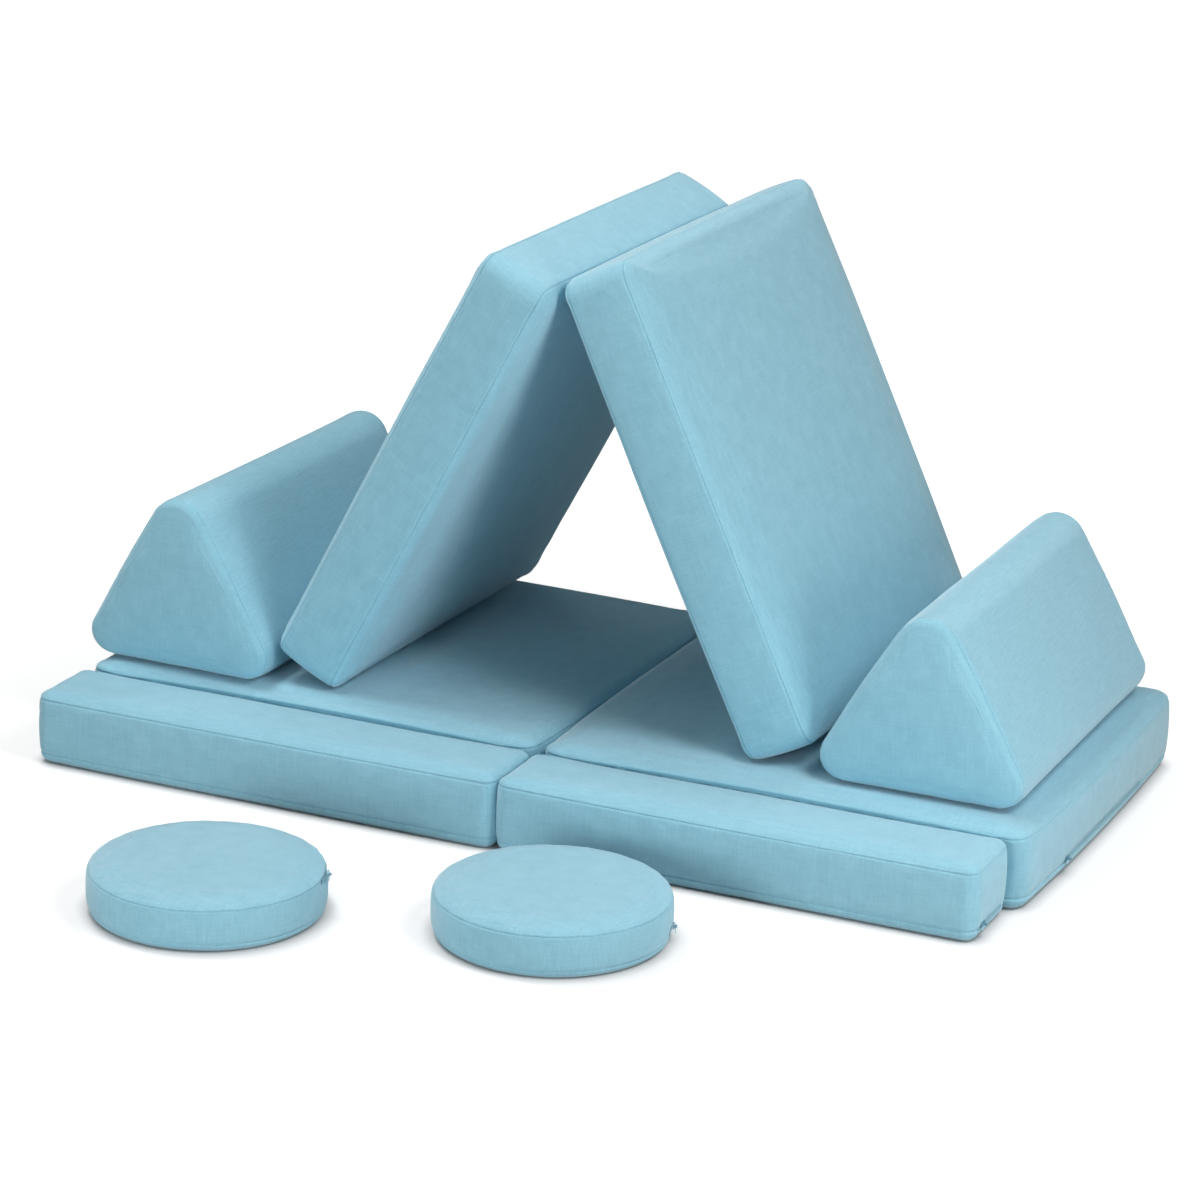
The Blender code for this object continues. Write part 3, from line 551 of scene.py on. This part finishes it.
# Materials
def new_material(name):
    made = bpy.data.materials.new(name)
    made.use_nodes = True
    tree = made.node_tree
    return made, tree, tree.nodes["Principled BSDF"]


def node(tree, kind, **inputs):
    made = tree.nodes.new(kind)
    for key, value in inputs.items():
        made.inputs[key.replace("_", " ")].default_value = value
    return made


def math(tree, operation, first, second):
    """A sum, product or the like of two numbers or outputs."""
    made = tree.nodes.new("ShaderNodeMath")
    made.operation = operation
    for slot, value in enumerate((first, second)):
        if isinstance(value, (int, float)):
            made.inputs[slot].default_value = value
        else:
            tree.links.new(value, made.inputs[slot])
    return made.outputs[0]


def own_coords(tree):
    return tree.nodes.new("ShaderNodeTexCoord").outputs["Object"]


def textured(tree, coords, output, kind, **inputs):
    """A texture's output over the object's own coordinates."""
    made = node(tree, kind, **inputs)
    tree.links.new(coords, made.inputs["Vector"])
    return made.outputs[output]


def stretched_noise(tree, coords, scale, detail, rough=0.5):
    """Noise with its own scale along each axis."""
    spread = tree.nodes.new("ShaderNodeMapping")
    spread.inputs["Scale"].default_value = scale
    tree.links.new(coords, spread.inputs["Vector"])
    return textured(tree, spread.outputs["Vector"], "Fac", "ShaderNodeTexNoise",
                    Scale=1.0, Detail=detail, Roughness=rough)


def ramped(tree, value, colours, socket):
    """Runs a socket from the first colour to the second as the value goes from 0 to 1."""
    ramp = tree.nodes.new("ShaderNodeValToRGB")
    for element, colour in zip(ramp.color_ramp.elements, colours):
        element.color = colour
    tree.links.new(value, ramp.inputs["Fac"])
    tree.links.new(ramp.outputs["Color"], socket)


def raised(tree, height, strength, distance, shader):
    """Fine relief on a shader."""
    bump = node(tree, "ShaderNodeBump", Strength=strength, Distance=distance)
    tree.links.new(height, bump.inputs["Height"])
    tree.links.new(bump.outputs["Normal"], shader.inputs["Normal"])


def cover_fabric():
    """Linen-like weave: fine threads in all three directions, slubs, and a slow mottle."""
    made, tree, shader = new_material("cover_fabric")
    coords = own_coords(tree)
    slubs = []
    for axis in range(3):
        scale = tuple(SLUB_ACROSS if c == axis else SLUB_ALONG for c in range(3))
        slubs.append(stretched_noise(tree, coords, scale, 1.5))
    slub = math(tree, "ADD", math(tree, "ADD", slubs[0], slubs[1]), slubs[2])
    mottle = stretched_noise(tree, coords, (MOTTLE, MOTTLE, MOTTLE), 4.0, 0.6)
    fleck = stretched_noise(tree, coords, (FLECK, FLECK, FLECK), 2.0)
    mix = math(tree, "MULTIPLY", slub, SLUB_SHARE)
    mix = math(tree, "ADD", mix, math(tree, "MULTIPLY", fleck, FLECK_SHARE))
    mix = math(tree, "ADD", mix, math(tree, "MULTIPLY", mottle, MOTTLE_SHARE))
    mix = math(tree, "MULTIPLY", math(tree, "SUBTRACT", mix, RAMP_START), RAMP_GAIN)
    ramped(tree, mix, FABRIC_COLOURS, shader.inputs["Base Color"])
    threads = []
    for axis in range(3):
        wave = node(tree, "ShaderNodeTexWave", Scale=THREADS, Distortion=1.2, Detail=1.0, Detail_Scale=1.0)
        wave.bands_direction = "XYZ"[axis]
        tree.links.new(coords, wave.inputs["Vector"])
        threads.append(wave.outputs["Fac"])
    weave = math(tree, "ADD", math(tree, "ADD", threads[0], threads[1]), threads[2])
    raised(tree, math(tree, "ADD", math(tree, "MULTIPLY", weave, 0.4), slub), 0.25, 0.0006, shader)
    shader.inputs["Roughness"].default_value = 0.92
    shader.inputs["Specular IOR Level"].default_value = 0.2
    shader.inputs["Sheen Weight"].default_value = 0.48
    shader.inputs["Sheen Roughness"].default_value = 0.5
    return made


def foam_material():
    """Cream open-cell foam."""
    made, tree, shader = new_material("foam_core")
    cells = textured(tree, own_coords(tree), "Distance", "ShaderNodeTexVoronoi", Scale=700.0)
    ramped(tree, cells, FOAM_COLOURS, shader.inputs["Base Color"])
    raised(tree, cells, 0.5, 0.0008, shader)
    shader.inputs["Roughness"].default_value = 0.95
    return made


def tape_material():
    """The zips' ribbed tape, a little darker than the cover."""
    made, tree, shader = new_material("zip_tape")
    rib = textured(tree, own_coords(tree), "Fac", "ShaderNodeTexNoise", Scale=900.0)
    ramped(tree, rib, TAPE_COLOURS, shader.inputs["Base Color"])
    raised(tree, rib, 0.5, 0.0003, shader)
    shader.inputs["Roughness"].default_value = 0.8
    return made


def metal_material():
    """Metal lacquered in the cover's colour, with uneven polish."""
    made, tree, shader = new_material("zip_metal")
    wear = textured(tree, own_coords(tree), "Fac", "ShaderNodeTexNoise", Scale=500.0, Detail=3.0)
    ramped(tree, wear, METAL_ROUGHNESS, shader.inputs["Roughness"])
    shader.inputs["Base Color"].default_value = METAL_COLOUR
    shader.inputs["Metallic"].default_value = 1.0
    return made


FABRIC = cover_fabric()
FOAM = foam_material()


# Keeping the cushions clear of each other, of the floor and of the zips
def clamp_plane(world, point, normal, depth):
    """Flattens what stands beyond a plane onto it, or to a depth inside it."""
    normal = np.array(normal, float)
    beyond = (world - np.array(point)) @ normal + depth
    return world - np.outer(np.maximum(beyond, 0.0), normal)


def sunk(points, axis, side, surface, spans):
    """Lets the surface down to just below a zip that lies across it, within the spans."""
    weight = np.ones(len(points))
    for other, low, high in spans:
        outside = np.maximum(np.maximum(low - points[:, other], points[:, other] - high), 0.0)
        share = np.clip(1 - outside / ZIP_BLEND, 0, 1)
        weight *= share * share * (3 - 2 * share)
    over = side * points[:, axis] - (surface - ZIP_SINK)
    points = points.copy()
    points[:, axis] -= side * weight * np.maximum(over, 0.0)
    return points


def sunk_round(points, surface, turns, levels):
    """The same for a zip round a disc; its turns are in degrees."""
    angle = np.degrees(np.arctan2(points[:, 1], points[:, 0]))
    radius = np.hypot(points[:, 0], points[:, 1])
    scale = surface * pi / 180
    flat = np.stack([radius, angle * scale, points[:, 2]], 1)
    spans = [(1, turns[0] * scale, turns[1] * scale), (2, *levels)]
    flat = sunk(flat, 0, 1, surface, spans)
    share = (flat[:, 0] / np.maximum(radius, 1e-9))[:, None]
    return np.concatenate([points[:, :2] * share, points[:, 2:]], 1)


def pressed(world, depth):
    """Lets the bases' tops down where a panel or a wedge stands, with a soft slope round it."""
    world = world.copy()
    top = world[:, 2] > DENT_ABOVE
    rests = [(x, y, z, TENT_YAW, PANEL_FOOT) for x, y, z in PANEL_PLACES.values()]
    rests += [(x, y, z, radians(yaw), WEDGE_FOOT) for x, y, z, yaw in WEDGE_PLACES.values()]
    for x, y, z, yaw, (below, half_x, half_y) in rests:
        level = z - below
        away_x, away_y = world[:, 0] - x, world[:, 1] - y
        across = np.abs(away_x * cos(yaw) + away_y * sin(yaw)) - half_x
        along = np.abs(away_y * cos(yaw) - away_x * sin(yaw)) - half_y
        outside = np.hypot(np.maximum(across, 0.0), np.maximum(along, 0.0))
        limit = level - depth + DENT_RISE * (1 - np.exp(-(outside / DENT_SLOPE) ** 2))
        world[:, 2] -= np.where(top, np.maximum(world[:, 2] - limit, 0.0), 0.0)
    return world


def add_cushion(name, form_data, place, planes, sink, to_local=None, press=None):
    """A cushion's sewn cover and its foam, put in place and kept clear of what they touch."""
    fine, verts, coarse, core = form_data
    rotation = np.array(place.to_3x3())
    shift = np.array(place.translation)
    for suffix, form, points, material, stands_for, slot, depth in (
            ("cushion", fine, verts, FABRIC, "cover", "cover_fabric", 0.0),
            ("core", coarse, core, FOAM, "foam", "foam", CORE_DEPTH)):
        local = to_local(points) if to_local else points
        if suffix == "cushion":
            local = sink(local)
        world = local @ rotation.T + shift
        if press:
            world = press(world, depth)
        for point, normal in planes:
            world = clamp_plane(world, point, normal, depth)
        local = (world - shift) @ rotation
        mesh = mesh_from(name + "_" + suffix, local, form.faces)
        mesh.materials.append(material)
        piece = add_object(name + "_" + suffix, mesh)
        piece.matrix_world = place
        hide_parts(name + "_" + stands_for)
        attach(piece, name)


def placed(x, y, z, yaw=0.0):
    return Matrix.Translation((x, y, z)) @ Matrix.Rotation(yaw, 4, "Z")


# Each side with the sign of the way towards the other side
SIDES = (("left", 1), ("right", -1))


def build_bases():
    size = BASE
    half_x, half_y = size["width"] / 2, size["depth"] / 2
    outline = block_outline(half_x, half_y, size["corner"], size["bow_x"], size["bow_y"])
    line = profile(size["height"], **BASE_EDGES)
    front = ((0, FRONT_Y, 0), (0, -1, 0))
    spans = [(1, -BASE_ZIP["half"], BASE_ZIP["half"]), (2, BASE_ZIP["low"], BASE_ZIP["high"])]
    for side, toward in SIDES:
        name = "base_" + side
        form = cushion_form(outline, line, (0.0, size["crown"]), SEEDS[name])
        join = ((JOIN_X - toward * CLEAR, 0, 0), (toward, 0, 0))
        sink = partial(sunk, axis=0, side=-toward, surface=BASE_ZIP["surface"], spans=spans)
        place = placed(BASE_PLACES[side], 0, 0)
        add_cushion(name, form, place, [FLOOR, front, join], sink, press=pressed)


def build_strips():
    size = STRIP
    line = profile(size["height"], **STRIP_EDGES)
    back = ((0, FRONT_Y - CLEAR, 0), (0, 1, 0))
    spans = [(1, -STRIP_ZIP["half"], STRIP_ZIP["half"]), (2, STRIP_ZIP["low"], STRIP_ZIP["high"])]
    for side, toward in SIDES:
        name = "strip_" + side
        half = STRIP_LENGTHS[side] / 2
        outline = block_outline(half, size["depth"] / 2, size["corner"], size["bow_x"], size["bow_y"])
        form = cushion_form(outline, line, (0.0, size["crown"]), SEEDS[name])
        join = ((JOIN_X - toward * CLEAR, 0, 0), (toward, 0, 0))
        sink = partial(sunk, axis=0, side=-toward, surface=half, spans=spans)
        add_cushion(name, form, placed(*STRIP_PLACES[side], 0), [FLOOR, join, back], sink)


def build_panels():
    size = PANEL
    half_x, half_y = size["length"] / 2, size["width"] / 2
    middle_x = half_x - size["round"]
    outline = block_outline(half_x, half_y, size["corner"], size["bow_x"], size["bow_y"])
    thick = size["thickness"]
    line = profile(thick, **PANEL_EDGES)
    tent = placed(*TENT, TENT_YAW)
    tent_out = np.array(tent.to_3x3() @ Vector((1, 0, 0)))
    spans = [(0, middle_x - PANEL_ZIP["half"], middle_x + PANEL_ZIP["half"]),
             (2, PANEL_ZIP["low"], PANEL_ZIP["high"])]

    def to_local(points):
        x, y, z = points.T
        level = (z - thick / 2) / (thick / 2)
        z = z + size["swell"] * (1 - (x / half_x) ** 2) * np.clip(level, -1, 1)
        return np.stack([x + half_x - size["round"], y, z - size["round"]], 1)

    for side, toward in SIDES:
        name = "panel_" + side
        crowns = (size["crown"], size["crown"])
        form = cushion_form(outline, line, crowns, SEEDS[name], flat_low=False,
                            crown_power=size["crown_power"])
        spot = placed(*PANEL_PLACES[side], TENT_YAW + (0.0 if toward > 0 else pi))
        place = spot @ Matrix.Rotation(-PANEL_LEANS[side], 4, "Y")
        lean_at = tent.translation + tent.to_3x3() @ Vector((-toward * CLEAR, 0, 0))
        middle = (tuple(lean_at), tuple(toward * tent_out))
        ground = ((0, 0, PANEL_PLACES[side][2] - size["round"] + CLEAR), (0, 0, -1))
        sink = partial(sunk, axis=1, side=toward, surface=half_y, spans=spans)
        add_cushion(name, form, place, [middle, ground], sink, to_local)


def build_wedges():
    size = WEDGE
    half = size["length"] / 2
    outline = wedge_outline(size["base"], size["height"], size["foot"], size["ridge"], size["swell"])
    line = profile(size["length"], **WEDGE_EDGES)
    spans = [(0, -WEDGE_ZIP["half"], WEDGE_ZIP["half"]), (2, WEDGE_ZIP["low"], WEDGE_ZIP["high"])]
    sink = partial(sunk, axis=1, side=1, surface=half, spans=spans)

    def to_local(points):
        across, up, stack = points.T
        along = half - stack
        end = np.clip((np.abs(along) - half + WEDGE_LIFT_REACH) / WEDGE_LIFT_REACH, 0, 1)
        low = np.clip(1 - up / WEDGE_LIFT_HEIGHT, 0, 1)
        return np.stack([across, along, up + WEDGE_LIFT * end ** 2 * low], 1)

    for side, _ in SIDES:
        name = "wedge_" + side
        x, y, z, yaw = WEDGE_PLACES[side]
        crowns = (size["low_crown"], size["high_crown"])
        form = cushion_form(outline, line, crowns, SEEDS[name], flat_low=False)
        ground = ((0, 0, z), (0, 0, -1))
        add_cushion(name, form, placed(x, y, z, radians(yaw)), [ground], sink, to_local)


def build_discs():
    size = DISC
    outline = disc_outline(size["radius"])
    line = profile(size["thickness"], **DISC_EDGES)
    for side, _ in SIDES:
        name = "disc_" + side
        low = DISC_ZIP_LOWS[side]
        form = cushion_form(outline, line, (0.0, size["crown"]), SEEDS[name])
        sink = partial(sunk_round, surface=DISC_ZIP["surface"],
                       turns=(DISC_ZIP["first"], DISC_ZIP["last"]),
                       levels=(low, low + DISC_ZIP["tall"]))
        add_cushion(name, form, placed(*DISC_PLACES[side], 0), [FLOOR], sink)


def dress_zips():
    """Better materials for the zips, sliders and pulls that the frame keeps."""
    tape, metal = tape_material(), metal_material()
    for name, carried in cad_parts.items():
        if name.endswith(("_zip", "_slider", "_pull")):
            for place in carried.material_slots:
                place.material = tape if name.endswith("_zip") else metal


# Studio
def seen_ray(tree):
    """1 for rays that show a surface in the picture, in a gloss or through glass."""
    path = tree.nodes.new("ShaderNodeLightPath")
    seen = math(tree, "MAXIMUM", path.outputs["Is Camera Ray"], path.outputs["Is Glossy Ray"])
    return math(tree, "MAXIMUM", seen, path.outputs["Is Transmission Ray"])


def floor_material():
    """Pale floor that shows white, less so near the cushions, and with painted contact shade under their
    edges.
    """
    made, tree, shader = new_material("studio_floor")
    shader.inputs["Base Color"].default_value = FLOOR_COLOUR
    shader.inputs["Roughness"].default_value = 1.0
    shader.inputs["Specular IOR Level"].default_value = 0.0
    glow = tree.nodes.new("ShaderNodeEmission")
    glow.inputs["Color"].default_value = WHITE
    away = node(tree, "ShaderNodeVectorMath")
    away.operation = "DISTANCE"
    away.inputs[1].default_value = LIT_FLOOR
    tree.links.new(own_coords(tree), away.inputs[0])
    near, far, low, high = FLOOR_GLOW
    spread = node(tree, "ShaderNodeMapRange", From_Min=near, From_Max=far, To_Min=low, To_Max=high)
    spread.interpolation_type = "SMOOTHSTEP"
    tree.links.new(away.outputs["Value"], spread.inputs["Value"])
    # Painted contact shade: the glow fades where a piece closes the floor in
    beside = tree.nodes.new("ShaderNodeAmbientOcclusion")
    beside.samples = 8
    beside.inputs["Distance"].default_value = PAINTED_SHADE_REACH
    painted_shade_fade = node(tree, "ShaderNodeMapRange", From_Min=PAINTED_SHADE_SHARES[0], From_Max=PAINTED_SHADE_SHARES[1])
    tree.links.new(beside.outputs["AO"], painted_shade_fade.inputs["Value"])
    strength = math(tree, "MULTIPLY", spread.outputs["Result"], painted_shade_fade.outputs["Result"])
    tree.links.new(math(tree, "MULTIPLY", seen_ray(tree), strength), glow.inputs["Strength"])
    both = tree.nodes.new("ShaderNodeAddShader")
    tree.links.new(shader.outputs[0], both.inputs[0])
    tree.links.new(glow.outputs[0], both.inputs[1])
    tree.links.new(both.outputs[0], tree.nodes["Material Output"].inputs["Surface"])
    return made


def studio():
    """White floor that keeps the shadows, and a world that shows white but lights little."""
    mesh = bpy.data.meshes.new("studio_floor")
    half = FLOOR_HALF
    corners = [(-half, -half, 0), (half, -half, 0), (half, half, 0), (-half, half, 0)]
    mesh.from_pydata(corners, [], [(0, 1, 2, 3)])
    mesh.materials.append(floor_material())
    add_object("studio_floor", mesh)

    world = bpy.data.worlds.new("studio")
    bpy.context.scene.world = world
    world.use_nodes = True
    tree = world.node_tree
    back = tree.nodes["Background"]
    level = math(tree, "ADD", math(tree, "MULTIPLY", seen_ray(tree), 1.0 - WORLD_LIGHT), WORLD_LIGHT)
    back.inputs["Color"].default_value = WHITE
    tree.links.new(level, back.inputs["Strength"])


def lamps():
    for name, azimuth, elevation, distance, size, power in LAMPS:
        data = bpy.data.lights.new(name, "AREA")
        data.size = size
        data.energy = power
        lamp = add_object(name, data)
        flat = cos(radians(elevation))
        toward = Vector((sin(radians(azimuth)) * flat, -cos(radians(azimuth)) * flat,
                         sin(radians(elevation))))
        lamp.location = LIT_MIDDLE + toward * distance
        lamp.visible_camera = False
        lamp.rotation_mode = "QUATERNION"
        lamp.rotation_quaternion = (-toward).to_track_quat("-Z", "Y")


def camera():
    """The photograph's view."""
    data = bpy.data.cameras.new("camera")
    data.sensor_width = SENSOR
    data.lens = FOCAL_PIXELS / FRAME_PIXELS * SENSOR
    data.shift_x, data.shift_y = SHIFT
    data.clip_end = FAR_CLIP
    eye = add_object("camera", data)
    right = Vector(EYE_RIGHT).normalized()
    ahead = Vector(EYE_AHEAD).normalized()
    up = right.cross(ahead)
    turn = Matrix((right, up, -ahead)).transposed()
    eye.matrix_world = Matrix.Translation(EYE) @ turn.to_4x4()
    bpy.context.scene.camera = eye


build_bases()
build_strips()
build_panels()
build_wedges()
build_discs()
dress_zips()
studio()
lamps()
camera()
bpy.context.scene.view_settings.view_transform = "Standard"
